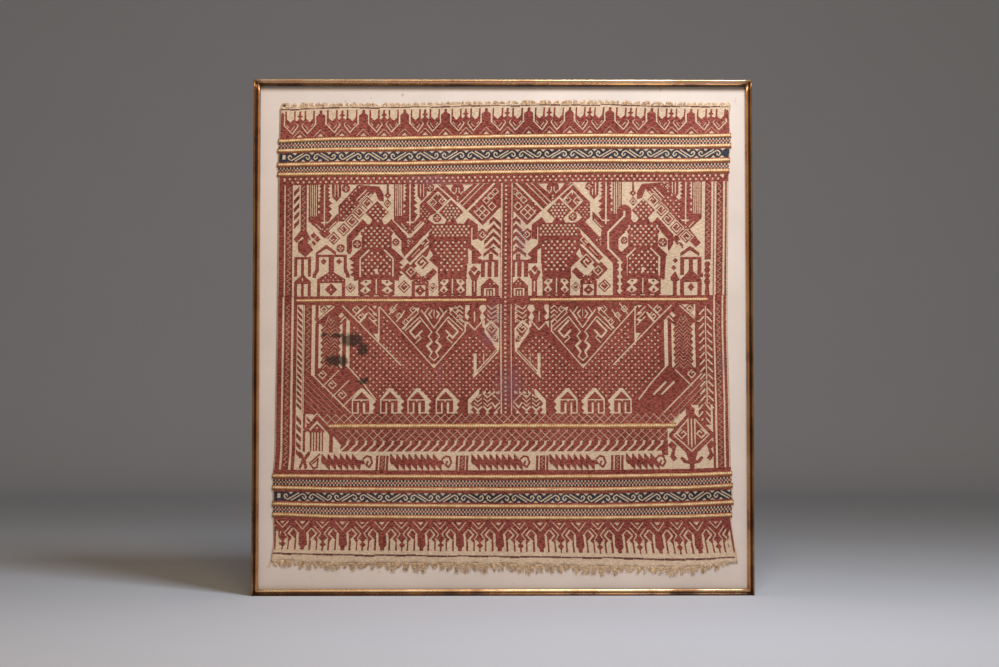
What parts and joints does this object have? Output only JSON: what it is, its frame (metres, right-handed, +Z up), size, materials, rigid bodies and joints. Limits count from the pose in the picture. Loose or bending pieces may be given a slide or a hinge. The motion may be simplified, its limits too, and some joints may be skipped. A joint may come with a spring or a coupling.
{
  "type": "tampan cloth in a gilt frame",
  "caption": "Nearly square patterned weft-float cloth with raised gold ribs and frayed ends, laid flat on a linen board in a thin gilt moulded frame that stands upright.",
  "frame": {"origin": "on the surface the frame stands on, under the middle of its bounding box", "axes": "+Z up, +X across to the viewer's right, and -Y out of the cloth's face towards the viewer"},
  "size_m": [0.79, 0.05, 0.815],
  "materials": {
    "gilt_moulding": "rubbed gilding over reddish clay on a wooden moulding, satin",
    "board_linen": "fine pale linen stretched over a board, matt",
    "patterned_weave": "cotton plain weave with red-brown, navy and gold weft floats, matt",
    "cotton_fringe": "frayed unbleached cotton, matt"
  },
  "bodies": {
    "root": {"frame_rail_top": "gilt_moulding", "frame_rail_bottom": "gilt_moulding", "frame_rail_left": "gilt_moulding", "frame_rail_right": "gilt_moulding", "linen_board": "board_linen", "tampan_cloth": "patterned_weave", "fringe_top": "cotton_fringe", "fringe_bottom": "cotton_fringe"}
  },
  "joints": []
}
